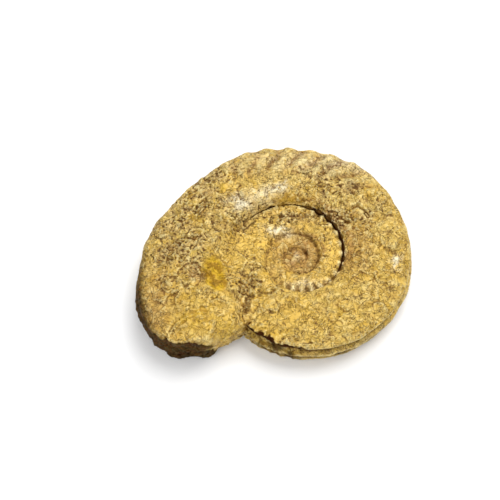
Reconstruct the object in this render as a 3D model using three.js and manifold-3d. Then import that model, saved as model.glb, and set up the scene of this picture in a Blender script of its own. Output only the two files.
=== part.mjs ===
// An ammonite fossil lying on its side: the limestone cast of a flat, coiled shell with a keel.
// Millimetres, +Z up. The coil lies in the XY plane and grows counterclockwise seen from above.
// Angles along the coil are in degrees and keep counting through the whorls: the last whorl runs
// from WHORL_START to APERTURE, and one turn less is the same direction one whorl further in.
import * as THREE from "three";
import { ParametricGeometry } from "three/addons/geometries/ParametricGeometry.js";
import { mergeVertices } from "three/addons/utils/BufferGeometryUtils.js";
import Module from "manifold-3d";

const TURN = 360;
const APERTURE = 236;
const WHORL_START = APERTURE - TURN;
const INNERMOST = WHORL_START - 2.5 * TURN;

const EXPANSION = 2.15; // how much every radius of the coil grows in one turn
const SEAM_RADIUS = 17; // where the last whorl meets the one inside it, towards +X
const OVERLAP = 1.19; // a buried whorl reaches this far past the seam that covers it
const INNER_EDGE = 0.96; // a whorl's own inner edge, as a share of its seam's radius

const UPPER_HALF = 7.9; // half thickness above the keel, towards +X
const LOWER_HALF = 8.6; // half thickness below the keel, towards +X
const THICKNESS_GROWTH = 0.75; // thickness grows as this power of the radius
const WORN_GROWTH = 0.12; // the same under the last whorl, where the flank is worn level
const REST_LEVEL = -7.9; // the plane that the fossil rests on, below the keel

// The worn edge of the last whorl, as [angle, radius of the keel].
const OUTLINE = [
  [-124, 33.6],
  [-100, 35.7],
  [-78, 37.4],
  [-45, 39.5],
  [-20, 40.8],
  [0, 41.0],
  [45, 43.0],
  [90, 43.6],
  [120, 45.6],
  [140, 47.2],
  [158, 50.2],
  [170, 53.6],
  [182, 56.2],
  [200, 60.3],
  [236, 63.5],
];

// Half a whorl's section, from the inner edge over the flank to the crest of the keel, as shares
// of the whorl's height and half thickness.
const HALF_SECTION = [
  [0.0, 0.0],
  [0.0, 0.42],
  [0.03, 0.66],
  [0.09, 0.85],
  [0.18, 0.96],
  [0.32, 1.0],
  [0.55, 0.97],
  [0.78, 0.87],
  [0.92, 0.72],
  [0.965, 0.56],
  [0.945, 0.36],
  [0.97, 0.17],
  [1.0, 0.0],
];
const KEEL_SHARE = 0.95; // points of the section past this share belong to the venter
const CHIPPED_KEEL = { from: -124, to: -90, loss: 0.05 }; // where the keel has broken off

const RIBS_PER_TURN = 32;
const RIB_CREST = 93.5; // the angle of one rib's crest
const RIB_RISE = 0.4; // a rib's crest stands this far out of the plain flank
const RIB_FROM = 0.5; // the ribs cross only the outer part of the flank
const RIBBED = { from: 40, to: 122, fade: 18 }; // the stretch where wear has left them
const STEPS_PER_RIB = 3; // rings of the outer whorl for each rib

// The fracture across the aperture: the corners of the lost part's plan, fracture line first.
const LOST_PART = [
  [-13.0, -21.5],
  [-17.8, -24.8],
  [-23.4, -30.0],
  [-26.5, -33.2],
  [-31.0, -35.0],
  [-43.0, -35.0],
  [-53.5, -30.2],
  [-75.0, -15.0],
  [-75.0, -75.0],
  [-10.0, -75.0],
];

const FRACTURE_LEAN = 0.1; // how far its face draws back for each millimetre down

const APEX_RADIUS = 4.3; // the first chamber, in the middle of the coil
const APEX_HALF = 2.6;

const wasm = await Module();
wasm.setup();

const radians = THREE.MathUtils.degToRad;
const growth = (angle) => EXPANSION ** (angle / TURN);
const seamRadius = (angle) => SEAM_RADIUS * growth(angle);
const upperHalf = (angle) => UPPER_HALF * growth(angle) ** THICKNESS_GROWTH;

function lowerHalf(angle) {
  const worn = Math.max(angle, WHORL_START);
  const buried = angle - worn;
  return LOWER_HALF * growth(worn) ** WORN_GROWTH * growth(buried) ** THICKNESS_GROWTH;
}

const wornOutline = new THREE.CubicInterpolant(
  OUTLINE.map(([angle]) => angle),
  OUTLINE.map(([, radius]) => radius),
  1,
);

function keelRadius(angle) {
  if (angle < WHORL_START) return OVERLAP * seamRadius(angle + TURN);
  return wornOutline.evaluate(angle)[0];
}

// 1 on a rib's crest and less between ribs, faded out where wear has taken the ribs.
function ribWave(angle) {
  const { smoothstep } = THREE.MathUtils;
  const shown =
    smoothstep(angle, RIBBED.from - RIBBED.fade, RIBBED.from) *
    (1 - smoothstep(angle, RIBBED.to, RIBBED.to + RIBBED.fade));
  return shown * Math.cos(radians(angle - RIB_CREST) * RIBS_PER_TURN);
}

// One ring of the shell: its section at an angle, as points on the radial plane there.
function ring(angle) {
  const inner = INNER_EDGE * seamRadius(angle);
  const height = keelRadius(angle) - inner;
  const chipped = angle >= CHIPPED_KEEL.from && angle <= CHIPPED_KEEL.to;
  const rib = RIB_RISE * ribWave(angle);
  const point = ([share, thickness], half) => {
    const onVenter = share > KEEL_SHARE;
    const kept = chipped && onVenter ? share - CHIPPED_KEEL.loss : share;
    const raised = share > RIB_FROM ? rib : 0;
    const radius = inner + kept * height + (onVenter ? raised : 0);
    const z = thickness * half + Math.sign(half * thickness) * (onVenter ? 0 : raised);
    const turned = radians(angle);
    return new THREE.Vector3(radius * Math.cos(turned), radius * Math.sin(turned), z);
  };
  const upper = HALF_SECTION.map((corner) => point(corner, upperHalf(angle)));
  const lower = HALF_SECTION.slice(1, -1).map((corner) => point(corner, -lowerHalf(angle)));
  return [...lower, ...upper.reverse()];
}

// A length of the coil between two angles, closed at both ends by a fan from the ring's middle.
function arc(from, to, steps) {
  const rings = Array.from({ length: steps + 1 }, (_, i) => ring(from + ((to - from) * i) / steps));
  const middle = (points) =>
    points.reduce((sum, p) => sum.add(p), new THREE.Vector3()).divideScalar(points.length);
  const sides = rings[0].length;
  const place = (along, around, target) => {
    const i = Math.round(along * (steps + 2)) - 1;
    const points = rings[THREE.MathUtils.clamp(i, 0, steps)];
    const inside = i >= 0 && i <= steps;
    target.copy(inside ? points[Math.round(around * sides) % sides] : middle(points));
  };
  return new ParametricGeometry(place, steps + 2, sides);
}

// A closed geometry as a manifold-3d solid, without the flat triangles at its poles.
function solid(geometry) {
  geometry.deleteAttribute("normal");
  geometry.deleteAttribute("uv");
  const merged = mergeVertices(geometry, 1e-4);
  const corners = [];
  for (let i = 0; i < merged.index.count; i += 3) {
    const [a, b, c] = [0, 1, 2].map((k) => merged.index.getX(i + k));
    if (a !== b && b !== c && c !== a) corners.push(a, b, c);
  }
  return new wasm.Manifold(
    new wasm.Mesh({
      numProp: 3,
      vertProperties: merged.attributes.position.array,
      triVerts: new Uint32Array(corners),
    }),
  );
}

// The whole coil in half turns, each joined to the next ring to ring: fine steps on the last whorl
// and coarser ones towards the middle.
function coil() {
  const halfTurn = TURN / 2;
  let joined = solid(new THREE.SphereGeometry(APEX_RADIUS, 16, 8).scale(1, 1, APEX_HALF / APEX_RADIUS));
  for (let to = APERTURE, count = 0; to > INNERMOST; to -= halfTurn, count += 1) {
    const finest = (RIBS_PER_TURN * STEPS_PER_RIB) / 2;
    const steps = count < 2 ? finest : Math.round(finest / (count + 1));
    const length = solid(arc(to - halfTurn, to, steps));
    joined = joined.add(count === 0 ? length.subtract(lostPart()) : length);
  }
  return joined;
}

// The part that broke away at the aperture, standing well past both sides of the coil.
function lostPart() {
  const plan = new THREE.Shape(LOST_PART.map(([x, y]) => new THREE.Vector2(x, y)));
  const depth = 60;
  const block = new THREE.ExtrudeGeometry(plan, { depth, bevelEnabled: false });
  const leaning = new THREE.Matrix4().makeShear(0, 0, 0, 0, 0, -FRACTURE_LEAN);
  return solid(block.translate(0, 0, -depth / 2).applyMatrix4(leaning));
}

// Everything below the resting plane.
function belowRest() {
  const size = 200;
  const depth = 20;
  return solid(new THREE.BoxGeometry(size, size, depth).translate(0, 0, REST_LEVEL - depth / 2));
}

// The outer skin alone, so that no pocket between two whorls stays sealed inside.
function withoutPockets(manifold) {
  const skins = manifold.decompose();
  return skins.reduce((largest, skin) => (skin.volume() > largest.volume() ? skin : largest));
}

function toGeometry(manifold) {
  const mesh = manifold.getMesh();
  const geometry = new THREE.BufferGeometry();
  geometry.setAttribute("position", new THREE.BufferAttribute(mesh.vertProperties, 3));
  geometry.setIndex(new THREE.BufferAttribute(mesh.triVerts, 1));
  return geometry;
}

const limestone = new THREE.MeshStandardMaterial({ color: 0xc9a55b, roughness: 0.6, metalness: 0 });

const fossil = new THREE.Mesh(toGeometry(withoutPockets(coil().subtract(belowRest()))), limestone);
fossil.name = "ammonite";

// The part's origin is the middle of the fossil's own box, on the plane that it rests on.
const box = new THREE.Box3().setFromObject(fossil);
const middle = box.getCenter(new THREE.Vector3());
fossil.position.set(-middle.x, -middle.y, -box.min.z);

const part = new THREE.Group();
part.add(fossil);
export default part;
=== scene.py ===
"""An ammonite fossil lying on its side: the ochre limestone cast of a coiled shell with a keel.

The plain coil is worked out as a distance field and turned into a mesh. Ribs, cracks, pits and
lumps then move each of its points in or out, and the colours are painted by a procedural material
that reads where each kind of weathering is, and where shade and highlights are painted. Lengths
are in millimetres, measured from the middle of the coil, until the finished mesh is scaled to
metres and put in the frame.
"""

from itertools import product
from types import SimpleNamespace

import bpy
import numpy as np
import openvdb
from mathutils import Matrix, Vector


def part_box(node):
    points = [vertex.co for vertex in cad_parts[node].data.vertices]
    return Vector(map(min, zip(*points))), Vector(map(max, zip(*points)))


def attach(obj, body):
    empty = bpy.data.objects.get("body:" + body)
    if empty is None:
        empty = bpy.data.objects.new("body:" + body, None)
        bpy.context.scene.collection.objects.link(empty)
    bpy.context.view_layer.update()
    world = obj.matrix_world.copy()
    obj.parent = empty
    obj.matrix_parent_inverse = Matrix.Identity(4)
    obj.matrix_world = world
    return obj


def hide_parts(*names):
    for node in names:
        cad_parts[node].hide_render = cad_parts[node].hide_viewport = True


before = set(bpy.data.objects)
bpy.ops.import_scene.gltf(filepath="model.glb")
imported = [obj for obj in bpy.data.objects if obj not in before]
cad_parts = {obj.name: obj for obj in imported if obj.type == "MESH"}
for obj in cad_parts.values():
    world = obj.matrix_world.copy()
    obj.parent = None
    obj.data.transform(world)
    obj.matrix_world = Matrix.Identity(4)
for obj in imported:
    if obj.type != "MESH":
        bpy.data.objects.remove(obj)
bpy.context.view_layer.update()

MM = 0.001
NODE = "ammonite"
COIL_MIDDLE = np.array([8.15, -3.66, 7.9])  # from the middle of the fossil's box, on the floor

# The coil. Angles are in degrees, and count on through the whorls towards the aperture.
TURN = 360.0
APERTURE = 236.0
WHORL_START = APERTURE - TURN
WHORLS = 4  # numbered inwards from 0, the last one, to 3; number 4 is the ball inside them
EXPANSION = 2.15  # how much every radius of the coil grows in one turn
SEAM_RADIUS = 17.0  # where the last whorl meets the one inside it, towards +X
OVERLAP = 1.19  # a buried whorl reaches this far past the seam that covers it
INNER_EDGE = 0.96  # a whorl's own inner edge, as a share of its seam's radius
UPPER_HALF = 7.9  # half thickness above the keel, towards +X
LOWER_HALF = 8.6  # half thickness below the keel, towards +X
THICKNESS_GROWTH = 0.75  # thickness grows as this power of the radius
WORN_GROWTH = 0.12  # the same under the last whorl, where the flank is worn level
REST_LEVEL = -7.9  # the plane that the fossil rests on, below the keel
REST_ROUNDING = 0.6  # how widely the edge of that plane is rounded

# The worn edge of the last whorl: angle, and the radius of the keel there.
OUTLINE = np.array([
    (-124, 33.6), (-100, 35.7), (-78, 37.4), (-45, 39.5), (-20, 40.8), (0, 41.0), (45, 43.0),
    (90, 43.6), (120, 45.6), (140, 47.2), (158, 50.2), (170, 53.6), (182, 56.2), (200, 60.3),
    (236, 63.5),
])

# Half a whorl's section, from the inner edge over the flank to the keel's crest, as shares of
# the whorl's height and half thickness.
HALF_SECTION = np.array([
    (0.0, 0.0), (0.0, 0.42), (0.03, 0.66), (0.09, 0.85), (0.18, 0.96), (0.32, 1.0), (0.55, 0.97),
    (0.78, 0.87), (0.92, 0.72), (0.965, 0.56), (0.945, 0.36), (0.97, 0.17), (1.0, 0.0),
])
SECTION_ASPECT = 3.0  # a whorl's height over its half thickness

APEX_RADIUS = 3.9  # the worn first chambers, in the middle of the coil
APEX_HALF = 2.6  # half their thickness
APEX_ROUNDING = 0.8  # how widely they are rounded into the coil

# The fracture at the aperture, from the umbilicus to the outer edge: where each flat of it
# starts, how far it leans outward for each millimetre up, and how much it is rounded over.
FRACTURE = [
    ((-16.6, -12.0), 0.0, 0.04),
    ((-16.6, -26.6), 0.05, 0.01),
    ((-24.0, -31.8), 0.05, 0.01),
    ((-30.5, -34.8), 0.05, 0.0),
    ((-43.5, -34.3), 0.05, 0.0),
    ((-51.5, -29.9), 0.05, 0.0),
]
FRACTURE_END = (-60.0, -15.5)
FRACTURE_FROM = 200  # it cuts nothing before this angle
FLAT_ROUNDING = 1.5  # how widely its flats are rounded into each other
WEATHERED_FROM = -30.5  # the fracture is old and rounded from this x towards +X
FRESH_ROUNDING = 1.2  # how widely its edge with the flank is rounded where it is fresh
OLD_ROUNDING = 8.0  # and how much wider where it is old

SEAM_FILL = (0.2, 0.9, 1.2)  # how far matrix rounds each seam, from the last one inwards

# Matrix that still fills the first seam on the aperture's side: depth, middle and reach.
MATRIX = [(6.0, -21, -3, 13), (5.0, -18, -17, 7)]

# The grid of the distance field, which holds the whole coil.
VOXEL = 0.3
MARGIN = 1.5
GRID_LEFT = -OUTLINE[:, 1].max()
GRID_RIGHT = 45
GRID_FRONT = -45
GRID_BACK = 50
OUTSIDE = 99.0  # further from the fracture than any point of the grid

FACE_LIMIT = 196_000  # triangles in the finished mesh


# ---------------------------------------------------------------- numbers and noise


# Large odd numbers that scramble whole numbers into evenly spread ones.
AXIS_FACTORS = (0x8DA6B343, 0xD8163841, 0xCB1AB31F)
SEED_FACTOR = 0x9E3779B1
STIR_FACTORS = (0x85EBCA6B, 0xC2B2AE35)
ALL_BITS = 0xFFFFFFFF

NOISE_GAIN = 1.8  # brings the noise to a range of about -1 to 1


def smoothstep(value, low, high):
    """0 at `low`, 1 at `high`, and a smooth rise between them."""
    share = np.clip((value - low) / (high - low), 0, 1)
    return share * share * (3 - 2 * share)


def smooth_max(a, b, width):
    """The larger of two fields, rounded over where they are within `width` of each other."""
    near = np.maximum(width - np.abs(a - b), 0) / width
    return np.maximum(a, b) + near * near * width / 4


def smooth_min(a, b, width):
    """The smaller of two fields, rounded over in the same way."""
    return -smooth_max(-a, -b, width)


def hashed(cell, seed):
    """A repeatable number from 0 to 1 for every whole-number cell."""
    mixed = np.uint32(seed * SEED_FACTOR & ALL_BITS)
    for axis, factor in enumerate(AXIS_FACTORS):
        mixed = mixed + cell[..., axis].astype(np.uint32) * np.uint32(factor)
    for factor in STIR_FACTORS:
        mixed ^= mixed >> np.uint32(15)
        mixed *= np.uint32(factor)
    mixed ^= mixed >> np.uint32(14)
    return mixed / float(ALL_BITS)


def noise(points, size, seed):
    """Smooth gradient noise of about -1 to 1, with features some `size` mm across."""
    scaled = points / size
    cell = np.floor(scaled).astype(np.int64)
    within = scaled - cell
    fade = within**3 * (within * (within * 6 - 15) + 10)
    total = np.zeros(len(points))
    for corner in product((0, 1), repeat=3):
        here = cell + corner
        weight = np.prod(np.where(corner, fade, 1 - fade), axis=1)
        for axis in range(3):
            slope = hashed(here, 3 * seed + axis) * 2 - 1
            total += weight * slope * (within[:, axis] - corner[axis])
    return total * NOISE_GAIN


def fractal(points, size, seed, octaves=3):
    """Noise with finer and finer noise added to it."""
    return sum(noise(points, size / 2**i, seed + 7 * i) / 2**i for i in range(octaves))


def bell(away, width):
    """1 at no distance, 0.37 at `width`, and nearly 0 at twice that."""
    return np.exp(-((away / width) ** 2))


def flakes(points, size, seed):
    """Flat flakes some `size` across, each tilted its own way, as a height of about -1 to 1."""
    scaled = points / size
    cell = np.floor(scaled).astype(np.int64)
    nearest = np.full(len(points), np.inf)
    height = np.zeros(len(points))
    for step in product((-1, 0, 1), repeat=3):
        here = cell + step
        middle = np.stack([hashed(here, seed + axis) for axis in range(3)], axis=1)
        tilt = np.stack([hashed(here, seed + 3 + axis) for axis in range(3)], axis=1) - 0.5
        away = scaled - here - middle
        distance = np.sum(away**2, axis=1)
        height = np.where(distance < nearest, 3 * np.sum(away * tilt, axis=1), height)
        nearest = np.minimum(nearest, distance)
    return height


# ---------------------------------------------------------------- the coil


def growth(angle):
    """How many times larger the coil is at an angle than towards +X."""
    return EXPANSION ** (angle / TURN)


def seam_radius(angle):
    """How far from the middle a whorl's inner seam is."""
    return SEAM_RADIUS * growth(angle)


def keel_radius(angle):
    """The worn outline on the last whorl, and a little past the covering seam inside it."""
    known, radius = OUTLINE.T
    slope = np.gradient(radius, known)
    i = np.clip(np.searchsorted(known, angle) - 1, 0, len(known) - 2)
    step = known[i + 1] - known[i]
    t = np.clip((angle - known[i]) / step, 0, 1)
    curve = (
        (2 * t**3 - 3 * t**2 + 1) * radius[i] + (t**3 - 2 * t**2 + t) * step * slope[i]
        + (3 * t**2 - 2 * t**3) * radius[i + 1] + (t**3 - t**2) * step * slope[i + 1]
    )
    return np.where(angle < WHORL_START, OVERLAP * seam_radius(angle + TURN), curve)


def upper_half(angle):
    """A whorl's half thickness above the keel."""
    return UPPER_HALF * growth(angle) ** THICKNESS_GROWTH


def lower_half(angle):
    """A whorl's half thickness below the keel, which grows little where it is worn level."""
    worn = np.maximum(angle, WHORL_START)
    return LOWER_HALF * growth(worn) ** WORN_GROWTH * growth(angle - worn) ** THICKNESS_GROWTH


def last_whorl_angle(x, y):
    """The angle of a direction as the last whorl counts it."""
    return (np.degrees(np.arctan2(y, x)) - WHORL_START) % TURN + WHORL_START


# ---------------------------------------------------------------- the plain body


def rounded_outline(corners, per_corner=12):
    """A closed smooth curve through the corners."""
    before, after, next_after = (np.roll(corners, shift, axis=0) for shift in (1, -1, -2))
    t = np.linspace(0, 1, per_corner, endpoint=False)[:, None, None]
    curve = 0.5 * (
        2 * corners + (after - before) * t
        + (2 * before - 5 * corners + 4 * after - next_after) * t**2
        + (3 * corners - before - 3 * after + next_after) * t**3
    )
    return curve.transpose(1, 0, 2).reshape(-1, 2)


def outline_distance(outline, x, y):
    """Signed distance from points to a closed outline, negative inside it."""
    nearest = np.full(x.shape, np.inf)
    inside = np.zeros(x.shape, bool)
    for (ax, ay), (bx, by) in zip(outline, np.roll(outline, -1, axis=0)):
        along = np.clip(
            ((x - ax) * (bx - ax) + (y - ay) * (by - ay)) / ((bx - ax) ** 2 + (by - ay) ** 2), 0, 1
        )
        away = np.hypot(x - ax - along * (bx - ax), y - ay - along * (by - ay))
        nearest = np.minimum(nearest, away)
        if ay != by:
            inside ^= ((ay > y) != (by > y)) & (x < ax + (y - ay) * (bx - ax) / (by - ay))
    return np.where(inside, -nearest, nearest)


def section_table():
    """The section's signed distance, in half thicknesses, over share of height and level."""
    lower = HALF_SECTION[1:-1][::-1] * (1, -1)
    outline = rounded_outline(np.concatenate([HALF_SECTION, lower])) * (SECTION_ASPECT, 1)
    shares = np.linspace(-0.4, 1.4, 361)
    levels = np.linspace(0, 2, 161)
    across, up = np.meshgrid(shares * SECTION_ASPECT, levels, indexing="ij")
    return shares, levels, outline_distance(outline, across, up)


def look_up(table, share, level):
    """Reads the section's distance table between its entries."""
    shares, levels, values = table
    u = np.clip((share - shares[0]) / (shares[1] - shares[0]), 0, len(shares) - 1.001)
    v = np.clip((level - levels[0]) / (levels[1] - levels[0]), 0, len(levels) - 1.001)
    i = u.astype(np.int32)
    j = v.astype(np.int32)
    u = u - i
    v = v - j
    return (
        values[i, j] * (1 - u) * (1 - v) + values[i + 1, j] * u * (1 - v)
        + values[i, j + 1] * (1 - u) * v + values[i + 1, j + 1] * u * v
    )


def whorl(radius, angle, z, table):
    """One whorl's distance field, over a plan of radii and angles and a list of levels."""
    inner = INNER_EDGE * seam_radius(angle)
    share = (radius - inner) / (keel_radius(angle) - inner)
    half = np.where(z > 0, upper_half(angle), lower_half(angle))
    return half * look_up(table, np.broadcast_to(share, half.shape), np.abs(z) / half)


def chips(x, y):
    """How far the fracture line wanders in and out, in mm, over the plan."""
    plan = np.stack(np.broadcast_arrays(x, y, 0.0), axis=-1)
    points = plan.reshape(-1, 3)
    ragged = 0.4 * noise(points, 6.0, 57) + 0.25 * noise(points, 2.5, 58)
    return ragged.reshape(plan.shape[:-1])


def fracture_distance(x, y, z):
    """Distance past the fracture face, positive in the part that broke away."""
    lost = np.full(np.broadcast(x, y, z).shape, -OUTSIDE)
    ends = [start for start, *_ in FRACTURE[1:]] + [FRACTURE_END]
    for (start, lean, rounding), end in zip(FRACTURE, ends):
        across, up = np.subtract(end, start) / np.hypot(*np.subtract(end, start))
        past = across * (y - start[1]) - up * (x - start[0])
        lost = smooth_max(lost, past - lean * z + rounding * z**2, FLAT_ROUNDING)
    return lost + chips(x, y)


def matrix_depth(x, y):
    """How far matrix still fills the seam inside the last whorl, in mm."""
    return sum(
        depth * np.exp(-((x - middle_x) ** 2 + (y - middle_y) ** 2) / reach**2)
        for depth, middle_x, middle_y, reach in MATRIX
    )


def body_field():
    """The plain coil's distance field on a grid, and the grid's first corner."""
    low = np.array([GRID_LEFT, GRID_FRONT, REST_LEVEL]) - MARGIN
    high = np.array([GRID_RIGHT, GRID_BACK, upper_half(APERTURE) + 1]) + MARGIN
    x, y, z = (np.arange(a, b, VOXEL) for a, b in zip(low, high))
    x = x[:, None, None]
    y = y[None, :, None]
    z = z[None, None, :]
    table = section_table()
    radius = np.hypot(x, y)
    angle = last_whorl_angle(x, y)

    # the last whorl, broken off at its aperture
    field = whorl(radius, angle, z, table)
    worn = FRESH_ROUNDING + OLD_ROUNDING * smoothstep(x, WEATHERED_FROM - 1, WEATHERED_FROM + 3)
    broken = smooth_max(field, fracture_distance(x, y, z), worn)
    field = np.where(angle > FRACTURE_FROM, broken, field)

    # the whorls inside it, each with matrix in its seam, and the ball in the middle
    filled = matrix_depth(x, y)
    for turn in range(1, WHORLS):
        inner = whorl(radius, angle - turn * TURN, z, table)
        field = smooth_min(field, inner, filled + SEAM_FILL[turn - 1])
        filled = 0
    apex = np.sqrt((radius / APEX_RADIUS) ** 2 + (z / APEX_HALF) ** 2) - 1
    field = smooth_min(field, APEX_HALF * apex, APEX_ROUNDING)

    # the lower flank, worn level
    field = smooth_max(field, REST_LEVEL - z, REST_ROUNDING)
    return field.astype(np.float32), low


def mesh_arrays(field, low):
    """The field's zero surface, as points and four-sided faces."""
    grid = openvdb.FloatGrid(background=float(MARGIN))
    grid.copyFromArray(field)
    grid.transform = openvdb.createLinearTransform(VOXEL)
    points, quads = grid.convertToQuads(isovalue=0.0)
    return points + low, quads


def make_object(name, points, faces):
    """A smooth-shaded mesh object in the scene."""
    mesh = bpy.data.meshes.new(name)
    mesh.from_pydata(points.tolist(), [], faces.tolist())
    mesh.polygons.foreach_set("use_smooth", np.ones(len(mesh.polygons), bool))
    mesh.update()
    piece = bpy.data.objects.new(name, mesh)
    bpy.context.scene.collection.objects.link(piece)
    return piece


# ---------------------------------------------------------------- where things are on the coil


def locate(points):
    """Where each point is on the coil: its whorl, its angle and its share of the whorl's height.

    `last` is its direction as the last whorl counts it, and `top` is 1 on the upper side and 0 on
    the lower one.
    """
    x, y, z = points.T
    radius = np.hypot(x, y)
    last = last_whorl_angle(x, y)
    turn = np.ceil(np.log(seam_radius(last) / np.maximum(radius, 0.5)) / np.log(EXPANSION))
    turn = np.clip(turn, 0, WHORLS)
    angle = last - turn * TURN
    inner = seam_radius(angle)
    outer = np.where(turn == 0, keel_radius(last), seam_radius(angle + TURN))
    return SimpleNamespace(
        points=points,
        x=x,
        y=y,
        z=z,
        radius=radius,
        last=last,
        turn=turn,
        angle=angle,
        share=(radius - inner) / (outer - inner),
        top=smoothstep(z, -1.5, 1.5),
    )


def patch(spot, x, y, across, along):
    """1 in the middle of a soft-edged patch on the upper side, and 0 well outside it."""
    return spot.top * np.exp(-((spot.x - x) / across) ** 2 - ((spot.y - y) / along) ** 2)


def line_distance(spot, line):
    """Distance in plan from each point to a line through some corners."""
    nearest = np.full(len(spot.x), np.inf)
    for (ax, ay), (bx, by) in zip(line[:-1], line[1:]):
        length = (bx - ax) ** 2 + (by - ay) ** 2
        along = np.clip(((spot.x - ax) * (bx - ax) + (spot.y - ay) * (by - ay)) / length, 0, 1)
        away = np.hypot(spot.x - ax - along * (bx - ax), spot.y - ay - along * (by - ay))
        nearest = np.minimum(nearest, away)
    return nearest


# ---------------------------------------------------------------- relief


RIB_SPACING = 11.25  # degrees between ribs, on the last whorl towards +Y
TURNS_BACK = 1.25  # so many turns further in,
RIB_WIDENING = 1.25  # they stand this many times wider apart
RIB_GROOVE = 87.9  # the angle of one groove between ribs, at the outer edge

# Cracks and scratches in the upper flank: width, depth and the points that each runs through.
CRACKS = [
    (0.6, 1.0, [(20.2, 17.0), (21.6, 18.0), (24.1, 16.5), (25.4, 13.8)]),
    (0.6, 0.9, [(19.5, 14.2), (20.0, 11.5), (19.9, 9.3)]),
    (0.6, 1.0, [(14.6, 14.0), (17.4, 12.2), (19.8, 11.0)]),
    (0.3, 0.4, [(20.6, -10.2), (22.1, -10.6), (23.3, -12.4)]),
    (0.3, 0.4, [(25.5, -8.6), (26.8, -12.0), (30.1, -14.9)]),
    (0.45, 0.5, [(15.8, -22.2), (17.9, -23.3), (19.3, -22.7)]),
    (0.4, 0.4, [(17.8, -25.0), (20.6, -26.4)]),
    (0.3, 0.35, [(21.1, -21.0), (24.0, -18.1)]),
    (0.45, 0.55, [(-46.0, -33.0), (-42.7, -28.0), (-39.0, -25.2), (-34.9, -23.6), (-30.7, -24.2)]),
    (0.4, 0.45, [(-44.6, -33.4), (-41.6, -29.3), (-38.3, -26.6), (-34.7, -25.0), (-31.0, -25.6)]),
    (0.35, 0.4, [(-41.5, -21.0), (-39.6, -22.2), (-37.9, -21.8), (-37.6, -23.3), (-35.4, -23.1)]),
    (0.4, 0.4, [(-31.2, -23.3), (-30.9, -20.2), (-28.3, -18.9), (-25.3, -19.8)]),
    (0.8, 1.1, [(-19.0, -18.6), (-16.6, -16.6), (-13.9, -16.2), (-11.2, -15.8), (-8.6, -14.4)]),
    (0.5, 0.8, [(-15.4, -13.0), (-14.4, -14.6), (-11.8, -15.6)]),
    (0.5, 0.6, [(-20.3, -11.0), (-18.6, -12.4), (-17.8, -14.0)]),
    (1.5, 0.7, [(-19.6, -18.5), (-18.8, -22.0), (-17.6, -26.0)]),
]

# Soft-edged patches on the upper side: strength, middle, and reach across and along.
ROUGH_PATCHES = [
    (0.75, -38, 20, 14, 12),
    (0.5, -42, 2, 9, 10),
    (0.8, -30, 33, 7, 8),
    (0.35, 10, 26, 12, 6),
    (0.45, 18, 16, 8, 8),
    (0.7, -1, 15, 9, 3.5),
    (0.6, -20, 13, 6, 5),
    (0.5, -16, -10, 6, 6),
    (-0.6, -34, -28, 12, 7),
    (-0.5, -8, 38, 14, 6),
    (-0.4, 34, -6, 8, 20),
    (-0.4, -25, 22, 8, 5),
    (-0.3, 0, -22, 25, 9),
    (-0.5, 1, 0, 7, 6.5),
    (-0.35, 11, -3, 6, 8),
    (-0.35, -9, 2, 5, 8),
    (-0.3, 2, -11, 8, 3),
]
RUBBLE = [
    (0.9, -15.0, -14.8, 5.0, 2.4),
    (0.8, -19.8, -16.5, 2.5, 2.5),
    (0.8, -18.2, -22, 2.2, 4.5),
    (0.6, -19.5, -10, 4, 3),
]
STAINS = [
    (1.8, -29.8, -8.8, 3.7, 5.0),
    (1.2, -27.6, -13.8, 2.6, 2.8),
    (0.65, -2, 20.8, 10, 1.5),
    (0.6, -26.5, 24, 2.5, 2.5),
    (0.45, -24, -31, 5, 3),
    (0.5, -37, -26, 12, 8),
]
UMBER_PATCHES = [
    (0.45, -18.4, -22.0, 1.8, 5.0),
    (0.4, -14, -16.2, 5, 1.3),
    (0.35, -31, 33, 5, 4),
    (0.3, 20, 10, 3, 5),
    # painted shadow: the dark crescent inside the bowl
    (0.6, 4.4, 1.6, 1.3, 1.5),
    (0.45, 7.4, 9.4, 2.2, 1.8),
    (0.42, -34.4, -10.2, 2.8, 1.6),
    (0.38, -28.4, -12.8, 3.0, 2.4),
]
TINTS = [
    (1.6, -34.6, -10.4, 2.8, 2.4),
    (0.9, -18.8, -20.0, 2.5, 6.0),
    (1.0, 1, 0.5, 7, 6.5),
    (0.6, 22, 3, 5, 12),
    # brown patina and painted shade towards the left outer edge
    (0.7, -50, -22, 7, 16),
    (0.35, 0, 16, 12, 3),
]
WARM_PATCHES = [
    (0.8, 14, 1, 4, 10),
    (0.7, -12, 3, 7, 8),
    (0.6, 2, -11, 9, 3),
    (0.5, 0, 10, 7, 3),
    (0.5, -30, -27, 10, 5),
    (0.4, 0, -25, 14, 5),
    (0.6, -23, 25, 6, 4),
    (0.5, -26, 5, 4, 8),
]
# Painted highlights, as patches on the upper side: strength, middle, and reach across and along.
PAINTED_HIGHLIGHTS = [
    (1.0, -20.5, 18.3, 4.5, 3.0),
    (0.8, -6.1, 24.6, 4.0, 1.6),
    (1.0, -7.4, 9.7, 4.2, 1.8),
    (0.9, 34.4, -3.8, 1.3, 2.4),
    (0.5, -12, 22, 5, 2.5),
    (0.5, 2, -10.8, 6, 1.6),
    (0.35, 12, 36, 30, 5),
    (0.4, -0.3, -0.4, 1.4, 1.2),
]

# How high ribs stand and how deep the marks below are cut, in mm.
RIB_RISE = 0.8  # from the gap between two ribs to their crests
RIB_CREST = 0.45  # how much of that is above the plain flank
OUTER_RIBS = 1.5  # how many times that on the last whorl
BEADS = 2.0  # on the whorl inside it, beside the open seam
INNERMOST_RIBS = 0.4
SEAM_DEPTH = 0.9
CRESCENT_DEPTH = 0.3
CREVICE_DEPTH = 1.4
GROOVE_DEPTH = 0.5
PIT_DEPTH = 0.5
WRINKLE_DEPTH = 0.24
FINE_WRINKLE_DEPTH = 0.08
BROKEN_RELIEF = 0.8  # how rough the fracture is
KEEL_SMOOTHING = 0.7  # how much of the fine relief the keel's band lacks


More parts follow.
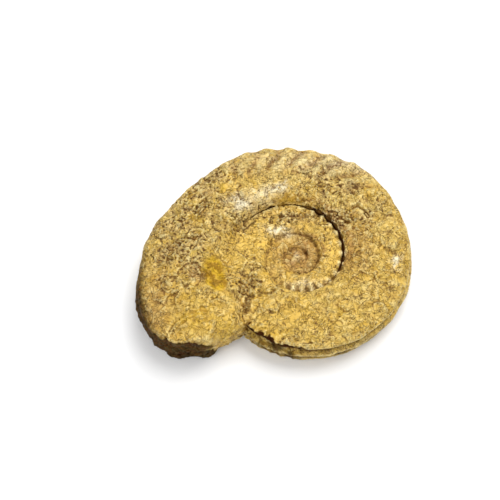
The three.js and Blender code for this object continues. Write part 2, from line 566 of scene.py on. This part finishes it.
def rib_count(angle):
    """How many ribs lie between the named groove and an angle."""
    span = -TURNS_BACK * TURN / np.log(RIB_WIDENING)
    return span / RIB_SPACING * (1 - np.exp(-(angle - RIB_GROOVE) / span))


def between_ribs(spot):
    """1 in the middle of each gap between ribs, and 0 on their crests."""
    inner_half = 1 - smoothstep(spot.share, 0.45, 0.92)
    bend = np.where(spot.turn == 0, 9.0, 2.0) * inner_half
    uneven = 0.14 * noise(spot.points, 9.0, 11)
    wave = np.cos(2 * np.pi * (rib_count(spot.angle - bend) + uneven))
    sharpness = np.where(spot.turn == 0, 1.2, 0.8)
    return (0.5 + 0.5 * wave) ** sharpness


def bead_band(spot):
    """1 where the ribs of the next whorl in stand out as a row of beads along the open seam."""
    open_seam = smoothstep(spot.last, -115, -100) * (1 - smoothstep(spot.last, 50, 90))
    return (spot.turn == 1) * smoothstep(spot.share, 0.72, 0.86) * open_seam * spot.top


def around(spot, direction, near, far):
    """1 within `near` degrees of a direction, falling to 0 at `far` degrees from it."""
    return smoothstep(-np.abs(spot.last - direction), -far, -near)


def outer_ribs(spot):
    """How strong ribs are on the last whorl: on its outer half, where wear has left them."""
    outer = smoothstep(spot.share, 0.42, 0.62) * (1 - 0.75 * smoothstep(spot.share, 0.9, 1.0))
    kept = smoothstep(spot.last, -60, -20) * (0.3 + 0.7 * smoothstep(spot.last, 35, 60))
    kept *= 1 - smoothstep(spot.last, 118, 140)
    return OUTER_RIBS * outer * kept


def inner_ribs(spot):
    """How strong ribs are on the whorls inside it: only beside the seam, and most in front."""
    strong = around(spot, -92, 20, 42)
    teeth = smoothstep(spot.share, 0.6 - 0.2 * strong, 0.84) * (0.8 + 0.5 * strong)
    teeth *= 1 - smoothstep(spot.last, 60, 100) * (1 - smoothstep(spot.last, 228, 236))
    return np.where(spot.turn == 1, BEADS, INNERMOST_RIBS) * teeth


def ribs(spot):
    """The height of the ribs, which are curved like sickles and lower on smaller whorls."""
    shown = np.where(spot.turn == 0, outer_ribs(spot), inner_ribs(spot))
    height = (RIB_CREST - RIB_RISE * between_ribs(spot)) * shown
    return height * growth(np.minimum(spot.angle, 0)) ** 0.4


def cracks(spot):
    """How deep the named cracks cut, with a ragged course."""
    ragged = 0.9 * noise(spot.points, 2.2, 61) + 0.6 * noise(spot.points, 1.1, 62)
    depth = np.zeros(len(spot.x))
    for width, deep, line in CRACKS:
        away = np.abs(line_distance(spot, line) + width * ragged)
        depth = np.maximum(depth, deep * (1 - smoothstep(away, 0, 1.6 * width)))
    broken = np.clip(0.75 + 0.9 * noise(spot.points, 2.5, 68), 0.1, 1.2)
    return depth * broken * spot.top


def patches(spot, places):
    """Several patches added together."""
    return sum(strength * patch(spot, *place) for strength, *place in places)


def roughness(spot):
    """How eroded the surface is, from 0 to 1."""
    rough = 0.3 + 0.4 * noise(spot.points, 8.0, 21) + 0.4 * (1 - spot.top)
    return np.clip(rough + patches(spot, ROUGH_PATCHES), 0, 1)


def seam_distance(spot):
    """How far in mm each point is from the nearest seam, and which whorl that seam edges."""
    outward = np.abs(spot.radius - INNER_EDGE * seam_radius(spot.angle))
    inward = np.abs(spot.radius - INNER_EDGE * seam_radius(spot.angle + TURN))
    inward = np.where(spot.turn == 0, np.inf, inward)
    return np.minimum(outward, inward), spot.turn - (inward < outward)


def seam_gap(spot):
    """1 in the open seam beside the last whorl, and 0 where matrix fills it."""
    away, turn = seam_distance(spot)
    open_side = around(spot, 55, 65, 105)
    width = 0.12 + 0.2 * around(spot, 30, 25, 65) + 0.1 * noise(spot.points, 3.0, 91)
    width += 0.2 * bead_band(spot) * between_ribs(spot)
    filled = patch(spot, -22, -2, 12, 13) + patch(spot, -8, -17, 9, 4)
    kept = (1 - np.clip(1.4 * filled, 0, 1)) * (0.05 + 0.95 * open_side) * (turn == 0)
    return bell(away, width) * kept


def crescents(spot):
    """1 in the dark crescents that lie beside the seams in the middle of the coil, cut in and
    painted brown as dirt and shadow.
    """
    away, turn = seam_distance(spot)
    reach = np.where(turn == 1, 110, 60)
    side = 0.15 + 0.85 * around(spot, 30, reach / 2 - 20, reach)
    width = np.where(turn == 1, 0.55, 0.6) * side + 0.1 * noise(spot.points, 2.0, 93)
    return bell(away, width) * side * np.isin(turn, (1, 2)) * spot.top


def inner_wall(spot):
    """1 on the steep inner walls of the outer whorls, on the upper right, where tan dirt and
    painted shade lie.
    """
    steep = 1 - smoothstep(spot.share, 0.02, np.where(spot.turn == 0, 0.16, 0.2))
    return steep * (spot.turn < 2) * around(spot, 35, 35, 85) * spot.top


def fractured(spot):
    """1 on the fresh part of the fracture face at the aperture, and 0 elsewhere."""
    past = fracture_distance(spot.x, spot.y, spot.z)
    flank = np.interp(spot.share, HALF_SECTION[:10, 0], HALF_SECTION[:10, 1])
    below = 0.86 * flank * upper_half(spot.last) - spot.z + 0.8 * noise(spot.points, 4.0, 52)
    edge = spot.x + 0.3 * spot.z + 1.8 * noise(spot.points, 3.5, 53)
    fresh = 1 - smoothstep(edge, WEATHERED_FROM - 0.5, WEATHERED_FROM + 1.5)
    fresh = fresh * smoothstep(past, -2.6, -1.8) * smoothstep(below, -0.3, 0.8)
    return fresh * (spot.last > FRACTURE_FROM - 10) * (spot.turn == 0)


def level(spot):
    """How high a point of the last whorl is, as a share of the half thickness."""
    half = np.where(spot.z > 0, upper_half(spot.last), lower_half(spot.last))
    return np.abs(spot.z) / half


def keel_band(spot):
    """1 on the outer edge between the flanks, and 0 on the flanks."""
    outer = (spot.turn == 0) * smoothstep(spot.share, 0.84, 0.9)
    return outer * smoothstep(-level(spot), -0.68, -0.58)


def chipped(spot):
    """1 where the keel is broken and ragged, beside the aperture."""
    end = spot.last + 4 * noise(spot.points, 3.0, 65)
    return smoothstep(end, WHORL_START - 4, WHORL_START + 1) * (1 - smoothstep(end, -96, -82))


def crevice(spot):
    """1 in the ragged crevice under the flank's edge where the keel is chipped."""
    middle = 0.55 + 0.08 * noise(spot.points, 4.0, 63) + 0.05 * noise(spot.points, 1.4, 66)
    outer = smoothstep(spot.share, 0.78, 0.88)
    here = (spot.z > 0) * (spot.turn == 0) * outer * chipped(spot)
    return bell(level(spot) - middle, 0.12) * here


def grooves(spot):
    """1 along the two grooves beside the keel, clearest towards the aperture's side."""
    kept = 0.25 + 0.75 * (1 - smoothstep(spot.last, -50, -20))
    return bell(level(spot) - 0.38, 0.12) * keel_band(spot) * kept * (1 - chipped(spot))


def wrinkles(points, size, seed, width):
    """1 along thin lines that wander like worm trails, broken into short lengths."""
    twist = np.stack([noise(points, 1.3 * size, seed + i) for i in range(3)], axis=1)
    trail = np.abs(noise(points + 0.5 * size * twist, size, seed + 4))
    broken = smoothstep(noise(points, 1.5 * size, seed + 5), -0.25, 0.1)
    return (1 - smoothstep(trail, 0, width)) * broken


def waviness(points):
    """The slow rise and fall of the whole surface, in mm."""
    return 0.36 * noise(points, 16.0, 1) + 0.36 * noise(points, 7.0, 2) + 0.15


def grain(points, rough):
    """Uneven stone with flat flakes of two sizes, rougher where it is eroded, in mm."""
    large = points + 1.2 * noise(points, 4.0, 8)[:, None]
    small = points + 0.7 * noise(points, 2.0, 9)[:, None]
    height = (0.05 + 0.12 * rough) * fractal(points, 3.0, 3)
    height += 0.28 * flakes(large, 5.0, 301)
    height += (0.03 + 0.12 * rough) * flakes(small, 2.4, 311)
    return height


def clustered_pits(points, rough):
    """1 in small pits that stand in clusters where the stone is eroded."""
    clusters = rough * smoothstep(noise(points, 6.0, 13), -0.3, 0.3)
    return clusters * smoothstep(fractal(points, 1.7, 41, 2), 0.2, 0.6)


def broken_edge(spot):
    """How far the edge of the flank above the chipped keel stands out, in mm."""
    edge = (spot.turn == 0) * smoothstep(spot.share, 0.68, 0.85)
    return chipped(spot) * edge * (0.45 * fractal(spot.points, 2.5, 64) + 0.2)


def relief(spot):
    """How far the weathered surface stands out from the plain coil, in mm."""
    points = spot.points
    rough = roughness(spot)
    fine = grain(points, rough)
    fine -= PIT_DEPTH * rough * smoothstep(fractal(points, 2.8, 12), 0.1, 0.7)
    fine -= PIT_DEPTH * clustered_pits(points, rough)
    fine -= (
        WRINKLE_DEPTH * wrinkles(points, 3.4, 31, 0.12)
        + FINE_WRINKLE_DEPTH * wrinkles(points, 1.7, 81, 0.2)
    )
    height = waviness(points)
    height += ribs(spot) + fine * (1 - KEEL_SMOOTHING * keel_band(spot))
    height -= cracks(spot)
    height -= SEAM_DEPTH * seam_gap(spot) + CRESCENT_DEPTH * crescents(spot)
    height -= CREVICE_DEPTH * crevice(spot) + GROOVE_DEPTH * grooves(spot)
    height += broken_edge(spot)
    height += BROKEN_RELIEF * fractured(spot) * fractal(points, 4.0, 51, 4)
    height += patches(spot, RUBBLE) * (1.3 * fractal(points, 3.8, 55) - 0.2)
    above_rest = smoothstep(spot.z, REST_LEVEL + 0.1, REST_LEVEL + 1.0)
    return height * above_rest


def vertex_points(mesh):
    """Every point of a mesh."""
    flat = np.zeros(len(mesh.vertices) * 3)
    mesh.vertices.foreach_get("co", flat)
    return flat.reshape(-1, 3)


def vertex_normals(mesh):
    """The outward direction at every point of a mesh."""
    flat = np.zeros(len(mesh.vertices) * 3)
    mesh.vertex_normals.foreach_get("vector", flat)
    return flat.reshape(-1, 3)


def thin_out(piece):
    """Reduces the mesh to about FACE_LIMIT triangles."""
    thin = piece.modifiers.new("Thin", "DECIMATE")
    thin.ratio = min(1.0, FACE_LIMIT / (2 * len(piece.data.polygons)))
    graph = bpy.context.evaluated_depsgraph_get()
    piece.data = bpy.data.meshes.new_from_object(piece.evaluated_get(graph))
    piece.modifiers.clear()


def sculpt():
    """The weathered fossil, as a mesh in millimetres."""
    points, faces = mesh_arrays(*body_field())
    piece = make_object("ammonite_cast", points, faces)
    moved = points + vertex_normals(piece.data) * relief(locate(points))[:, None]
    moved[:, 2] = np.maximum(moved[:, 2], REST_LEVEL)
    piece.data.vertices.foreach_set("co", moved.ravel())
    piece.data.update()
    thin_out(piece)
    return piece


# ---------------------------------------------------------------- painted marks


FINE_PASSES = 8  # how often the surface is smoothed to find small hollows
WIDE_PASSES = 60  # and to find wide ones
FINE_DEPTH = 0.22  # how deep in mm a small hollow is where its mark is 1


def hollows(mesh, points, passes):
    """How far each point lies below its smoothed surroundings, in mm."""
    ends = np.zeros(len(mesh.edges) * 2, np.int32)
    mesh.edges.foreach_get("vertices", ends)
    a, b = ends.reshape(-1, 2).T
    many = len(points)
    neighbours = np.bincount(a, minlength=many) + np.bincount(b, minlength=many)
    smooth = points.copy()
    for _ in range(passes):
        total = np.stack(
            [
                np.bincount(a, smooth[b, axis], many) + np.bincount(b, smooth[a, axis], many)
                for axis in range(3)
            ],
            axis=1,
        )
        smooth = 0.5 * smooth + 0.5 * total / neighbours[:, None]
    return np.sum((smooth - points) * vertex_normals(mesh), axis=1)


def add_mark(mesh, name, values, lowest=0):
    """Stores one number for each point of a mesh, from `lowest` to 1."""
    layer = mesh.attributes.new(name, "FLOAT", "POINT")
    layer.data.foreach_set("value", np.clip(values, lowest, 1).astype(np.float32))


def displaced(points):
    """The points moved this way and that by a millimetre or two, for patches' ragged edges."""
    ragged = [
        0.9 * noise(points, 5.0, 71 + axis) + 0.45 * noise(points, 1.6, 74 + axis)
        for axis in range(3)
    ]
    return points + 2.0 * np.stack(ragged, axis=1)


def umber_and_shade(spot, ragged):
    """How brown the stone is, partly as painted shade: in patches, beside seams, in grooves and
    where it is broken.
    """
    share = smoothstep(patches(ragged, UMBER_PATCHES), 0.15, 0.8)
    # dirt and painted shadow in the crescents, and painted shade between the beads
    share += 0.45 * crescents(spot) + 0.4 * bead_band(spot) * between_ribs(spot) ** 2
    # the fracture's own brown, and painted shade in the keel's grooves
    share += fractured(spot) + 0.9 * grooves(spot)
    share += chipped(spot) * keel_band(spot) * (0.5 + 0.7 * noise(spot.points, 2.5, 77))
    # brown patina and painted shade along the left outer edge
    outer_edge = (spot.turn == 0) * smoothstep(spot.share, 0.86, 0.97)
    share += 1.1 * outer_edge * smoothstep(spot.last, 168, 200)
    return share


def tint_and_shade(spot, ragged):
    """How tan the stone is: in patches, on inner walls as dirt and painted shade, between ribs and
    on inner whorls.
    """
    # dirt and painted shade on the inner walls
    share = patches(ragged, TINTS) + 0.9 * inner_wall(ragged)
    share += 0.9 * np.clip(-ribs(spot), 0, 1) * (spot.turn == 0) + 0.3 * (spot.turn > 1)
    return share


def pale(spot, ragged):
    """How strongly highlights are painted: in patches, and on the crests of the beads along the
    open seam.
    """
    return patches(ragged, PAINTED_HIGHLIGHTS) + 0.5 * bead_band(spot) * (1 - between_ribs(spot))


def painted_gap_shade(spot):
    """Painted shade: 1 in the open seam, in the crevice and under the fracture's upper edge."""
    under_edge = fractured(spot) * smoothstep(spot.z / upper_half(spot.last), 0.6, 0.75)
    return seam_gap(spot) * spot.top + 0.9 * crevice(spot) + 0.6 * under_edge


def paint(piece):
    """Stores where each kind of weathering is, and where shade and highlights are painted, for the
    material to read.
    """
    mesh = piece.data
    points = vertex_points(mesh)
    spot = locate(points)
    ragged = locate(displaced(points))
    wide_depth = np.where(spot.turn == 0, 0.7, 1.2)
    # the hollows and raised places, where shade and highlights are painted
    add_mark(mesh, "hollow", hollows(mesh, points, FINE_PASSES) / FINE_DEPTH, lowest=-1)
    add_mark(mesh, "wide_hollow", hollows(mesh, points, WIDE_PASSES) / wide_depth, lowest=-1)
    add_mark(mesh, "rough", roughness(spot))
    add_mark(mesh, "stain", smoothstep(patches(ragged, STAINS), 0.1, 0.95))
    # brown, partly painted shade
    add_mark(mesh, "umber_and_shade", umber_and_shade(spot, ragged))
    # tan, partly painted shade on inner walls
    add_mark(mesh, "tint_and_shade", tint_and_shade(spot, ragged))
    add_mark(mesh, "warm", patches(ragged, WARM_PATCHES) + 0.4 * (spot.turn == 1))
    # where highlights are painted
    add_mark(mesh, "pale", pale(spot, ragged))
    # where shade is painted: the open seam, the crevice and under the fracture's upper edge
    add_mark(mesh, "painted_gap_shade", painted_gap_shade(spot))


# ---------------------------------------------------------------- material


def srgb(red, green, blue):
    """A colour as 0 to 255 screen values, turned into the renderer's linear ones."""
    def linear(value):
        value /= 255
        return value / 12.92 if value <= 0.04045 else ((value + 0.055) / 1.055) ** 2.4

    return (linear(red), linear(green), linear(blue), 1.0)


YELLOW_STONE = srgb(205, 165, 60)
SAND_STONE = srgb(212, 178, 86)
BUFF_STONE = srgb(218, 184, 110)
OCHRE = srgb(160, 114, 40)
PALE_YELLOW = srgb(234, 208, 132)
GOLDEN = srgb(232, 190, 84)
TAN = srgb(172, 128, 66)
# painted highlight
HIGHLIGHT_WHITE = srgb(250, 240, 206)
BLOTCH_BROWN = srgb(138, 94, 42)
CREASE_BROWN = srgb(140, 98, 36)
LINE_BROWN = srgb(98, 60, 20)
FLECK_BROWN = srgb(100, 64, 22)
# painted highlight on raised places, and painted shade in small and wide hollows
HIGHLIGHT_CREAM = srgb(246, 226, 158)
HOLLOW_SHADE = srgb(92, 56, 18)
WIDE_HOLLOW_SHADE = srgb(158, 112, 30)
STAIN_YELLOW = srgb(206, 164, 20)
STAIN_ORANGE = srgb(176, 130, 14)
# browns for broken stone and for painted shade
DARK_UMBER = srgb(20, 8, 3)
UMBER = srgb(76, 40, 18)
# painted shade in the open seam, the crevice and under the fracture's upper edge
GAP_SHADE = srgb(66, 34, 10)


class Nodes:
    """Short names for building one material's node tree."""

    def __init__(self, name):
        self.material = bpy.data.materials.new(name)
        self.material.use_nodes = True
        self.tree = self.material.node_tree
        self.shader = self.tree.nodes["Principled BSDF"]

    def add(self, kind, **settings):
        node = self.tree.nodes.new(kind)
        for name, value in settings.items():
            setattr(node, name, value)
        return node

    def connect(self, source, socket):
        """Links a node's output to a socket, or sets a plain value on it."""
        if hasattr(source, "bl_idname"):
            self.tree.links.new(source, socket)
        else:
            socket.default_value = source

    def mark(self, name):
        """A kind of weathering that is stored on the mesh."""
        return self.add("ShaderNodeAttribute", attribute_name=name).outputs["Fac"]

    def math(self, operation, a, b=0.0):
        node = self.add("ShaderNodeMath", operation=operation)
        self.connect(a, node.inputs[0])
        self.connect(b, node.inputs[1])
        return node.outputs[0]

    def times(self, a, b):
        return self.math("MULTIPLY", a, b)

    def spread(self, value, low, high, to_low=0.0, to_high=1.0):
        """Runs smoothly from `to_low` to `to_high` while the value runs from `low` to `high`."""
        node = self.add("ShaderNodeMapRange", interpolation_type="SMOOTHSTEP")
        for socket, amount in zip(node.inputs, (value, low, high, to_low, to_high)):
            self.connect(amount, socket)
        return node.outputs[0]

    def mix(self, share, first, second):
        """The first colour where the share is 0, and the second where it is 1."""
        node = self.add("ShaderNodeMix", data_type="RGBA")
        self.connect(share, node.inputs["Factor"])
        self.connect(first, node.inputs[6])
        self.connect(second, node.inputs[7])
        return node.outputs[2]

    def noise(self, millimetres, detail=3.0, rough=0.55, twist=0.0):
        """Noise of 0 to 1 with features some `millimetres` across."""
        place = self.add("ShaderNodeTexCoord").outputs["Object"]
        node = self.add("ShaderNodeTexNoise")
        self.connect(place, node.inputs["Vector"])
        node.inputs["Scale"].default_value = 1 / (millimetres * MM)
        node.inputs["Detail"].default_value = detail
        node.inputs["Roughness"].default_value = rough
        node.inputs["Distortion"].default_value = twist
        return node.outputs["Fac"]

    def trails(self, millimetres, width, twist=1.5):
        """1 along thin wandering lines, some `millimetres` apart."""
        level = self.noise(millimetres, 2, 0.5, twist)
        away = self.math("ABSOLUTE", self.math("SUBTRACT", level, 0.5))
        return self.spread(away, 0.0, width, 1.0, 0.0)

    def bump(self, height, millimetres, strength, below=None):
        """Shades the surface as if it stood out by the height, on top of another bump."""
        node = self.add("ShaderNodeBump")
        node.inputs["Distance"].default_value = millimetres * MM
        self.connect(strength, node.inputs["Strength"])
        self.connect(height, node.inputs["Height"])
        if below is not None:
            self.connect(below, node.inputs["Normal"])
        return node.outputs["Normal"]


def stone_color(n, rough):
    """Yellow stone, buff where it is eroded, mottled darker and paler, tinted in patches and with
    painted shade on inner walls, and with painted highlights.
    """
    color = n.mix(n.spread(n.noise(6.0, 4), 0.4, 0.6), YELLOW_STONE, SAND_STONE)
    buff = n.times(n.spread(n.noise(4.0, 4), 0.38, 0.58), n.spread(rough, 0.2, 0.8, 0.15, 0.9))
    color = n.mix(buff, color, BUFF_STONE)
    darker = n.spread(n.noise(3.2, 5, 0.6), 0.48, 0.66)
    color = n.mix(n.times(darker, 0.35), color, OCHRE)
    paler = n.spread(n.noise(2.4, 4, 0.6), 0.48, 0.64)
    color = n.mix(n.times(paler, 0.4), color, PALE_YELLOW)
    color = n.mix(n.times(n.mark("warm"), 0.8), color, GOLDEN)
    tinted = n.times(n.mark("tint_and_shade"), n.spread(n.noise(3.0, 4), 0.3, 0.6, 0.5, 0.9))
    color = n.mix(tinted, color, TAN)
    # painted highlights
    highlighted = n.times(n.mark("pale"), n.spread(n.noise(1.2, 4, 0.7), 0.32, 0.52))
    color = n.mix(highlighted, color, HIGHLIGHT_WHITE)
    blotch = n.times(n.spread(n.noise(4.5, 5, 0.7), 0.47, 0.58), n.spread(rough, 0.4, 0.95))
    return n.mix(n.times(blotch, 0.5), color, BLOTCH_BROWN)


def dark_lines(n, rough):
    """1 along thin dark lines, long and short, that wander over the stone."""
    long_line = n.times(n.trails(3.6, 0.027), n.spread(n.noise(5.0, 2), 0.4, 0.48))
    short_line = n.times(n.trails(1.8, 0.035), n.spread(n.noise(2.5, 2), 0.5, 0.58))
    line = n.math("MAXIMUM", long_line, short_line)
    return n.times(line, n.spread(rough, 0.0, 0.35, 0.8, 0.85))


def flecks(n, rough):
    """1 in clusters of flecks where the stone is eroded."""
    fleck = n.spread(n.noise(1.0, 3, 0.7, 1.0), 0.56, 0.64)
    fleck = n.times(fleck, n.spread(n.noise(4.5, 3), 0.47, 0.56))
    return n.times(fleck, n.spread(rough, 0.25, 0.8, 0.05, 0.9))


def highlighted_and_shaded(n, color, rough):
    """Painted highlights where the surface is raised, and painted shade in its small and wide
    hollows.
    """
    hollow = n.mark("hollow")
    raised = n.times(n.spread(hollow, -0.1, -0.9), n.spread(rough, 0.0, 0.7, 0.4, 0.65))
    color = n.mix(raised, color, HIGHLIGHT_CREAM)
    shade_in_hollows = n.times(n.spread(hollow, 0.08, 0.7), n.spread(rough, 0.1, 0.6, 0.6, 0.9))
    color = n.mix(shade_in_hollows, color, HOLLOW_SHADE)
    return n.mix(n.spread(n.mark("wide_hollow"), 0.1, 1.0, 0.0, 0.4), color, WIDE_HOLLOW_SHADE)


def discolored_and_shaded(n, color):
    """Stained in patches, brown where it is broken and where shade is painted, and darkest in its
    gaps, as painted shade.
    """
    stain = n.mix(n.spread(n.noise(2.5, 4), 0.4, 0.6), STAIN_YELLOW, STAIN_ORANGE)
    color = n.mix(n.times(n.mark("stain"), 0.9), color, stain)
    # the brown of broken stone, and painted shade beside seams, in grooves and along the left edge
    broken = n.mix(n.spread(n.noise(1.5, 5, 0.65), 0.42, 0.62), DARK_UMBER, UMBER)
    color = n.mix(n.times(n.mark("umber_and_shade"), 0.9), color, broken)
    # painted shade, darkest in the gaps
    return n.mix(n.spread(n.mark("painted_gap_shade"), 0.15, 0.6), color, GAP_SHADE)


def set_gloss(n):
    """A little gloss that comes and goes, and hardly any where the stone is broken or open."""
    n.connect(n.spread(n.noise(3.0, 4), 0.35, 0.65, 0.38, 0.65), n.shader.inputs["Roughness"])
    dull = n.math("MAXIMUM", n.mark("umber_and_shade"), n.mark("painted_gap_shade"))
    n.connect(n.spread(dull, 0.1, 0.6, 0.28, 0.03), n.shader.inputs["Specular IOR Level"])


def fine_bumps(n, rough, cuts):
    """The relief that is too fine for the mesh: lumps, grain, and the marks cut into it."""
    lumps = n.bump(n.noise(2.6, 3, 0.5), 1.0, n.spread(rough, 0.0, 0.8, 0.3, 0.85))
    normal = n.bump(n.noise(0.9, 5, 0.65), 0.6, n.spread(rough, 0.0, 0.8, 0.35, 1.0), lumps)
    for cut, millimetres in cuts:
        normal = n.bump(n.times(cut, -1.0), millimetres, 0.9, normal)
    return normal


def limestone():
    """Ochre limestone: mottled, pitted, stained, brown where it is broken, with painted shade and
    highlights, and a little glossy.
    """
    n = Nodes("limestone")
    rough = n.mark("rough")
    crease = n.trails(2.4, 0.08, 0.8)
    line = dark_lines(n, rough)
    fleck = flecks(n, rough)
    color = stone_color(n, rough)
    color = n.mix(n.times(crease, 0.12), color, CREASE_BROWN)
    color = n.mix(line, color, LINE_BROWN)
    color = n.mix(fleck, color, FLECK_BROWN)
    # painted highlights on raised places and painted shade in hollows
    color = highlighted_and_shaded(n, color, rough)
    color = discolored_and_shaded(n, color)
    n.connect(color, n.shader.inputs["Base Color"])
    set_gloss(n)
    normal = fine_bumps(n, rough, [(crease, 0.4), (line, 0.2), (fleck, 0.3)])
    n.connect(normal, n.shader.inputs["Normal"])
    return n.material


# ---------------------------------------------------------------- the setting


def pale_floor():
    """Plain, pale and matt."""
    n = Nodes("pale_floor")
    n.shader.inputs["Base Color"].default_value = (0.93, 0.93, 0.93, 1)
    n.shader.inputs["Roughness"].default_value = 0.9
    return n.material


def make_floor():
    """A plain pale floor, many times wider than the fossil."""
    half = 3.0  # metres
    corners = np.array([(-half, -half, 0), (half, -half, 0), (half, half, 0), (-half, half, 0)])
    floor = make_object("floor", corners, np.array([[0, 1, 2, 3]]))
    floor.data.materials.append(pale_floor())


def aim(thing, target):
    """Turns a light or a camera towards a point."""
    direction = Vector(target) - thing.location
    thing.rotation_euler = direction.to_track_quat("-Z", "Y").to_euler()


def make_light(name, place, size, watts, target):
    """A square soft light."""
    lamp = bpy.data.lights.new(name, "AREA")
    lamp.shape = "SQUARE"
    lamp.size = size
    lamp.energy = watts
    light = bpy.data.objects.new(name, lamp)
    light.location = place
    bpy.context.scene.collection.objects.link(light)
    aim(light, target)


def light_room(middle):
    """Soft studio light, mostly from behind and to the right."""
    key_place = middle + Vector((0.3, 0.4, 0.85))
    fill_place = middle + Vector((-0.3, -0.5, 0.8))
    make_light("key", key_place, size=0.8, watts=9.1, target=middle)
    make_light("fill", fill_place, size=0.8, watts=4.0, target=middle)
    world = bpy.data.worlds.new("room")
    world.use_nodes = True
    background = world.node_tree.nodes["Background"]
    background.inputs["Color"].default_value = (1, 1, 1, 1)
    background.inputs["Strength"].default_value = 0.48
    bpy.context.scene.world = world


def make_camera(middle):
    """Looks down on the fossil from the front."""
    elevation = np.radians(65.0)
    distance = 480 * MM
    framed = 180 * MM  # how wide a strip the camera sees at that distance
    sensor_width = 36
    aside = (-16.9, 3.45, 1.6)  # where the camera looks, from the middle of the coil
    camera = bpy.data.objects.new("camera", bpy.data.cameras.new("camera"))
    camera.data.sensor_width = sensor_width
    camera.data.lens = sensor_width * distance / framed
    target = middle + Vector(COIL_MIDDLE + aside) * MM
    camera.location = target + Vector((0, -np.cos(elevation), np.sin(elevation))) * distance
    bpy.context.scene.collection.objects.link(camera)
    aim(camera, target)
    bpy.context.scene.camera = camera


def put_in_frame(piece, middle):
    """Turns the mesh's millimetres into metres, and moves it to its place in the frame."""
    placed = (vertex_points(piece.data) + COIL_MIDDLE) * MM + np.array(middle)
    piece.data.vertices.foreach_set("co", placed.ravel())
    piece.data.update()


def make_ammonite(middle):
    """The whole fossil, in place of its plain solid."""
    piece = sculpt()
    paint(piece)
    put_in_frame(piece, middle)
    piece.data.materials.append(limestone())
    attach(piece, "root")
    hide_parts(NODE)


def main():
    low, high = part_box(NODE)
    middle = Vector(((low.x + high.x) / 2, (low.y + high.y) / 2, low.z))
    make_ammonite(middle)
    make_floor()
    light_room(middle)
    make_camera(middle)
    bpy.context.scene.view_settings.view_transform = "Standard"


main()
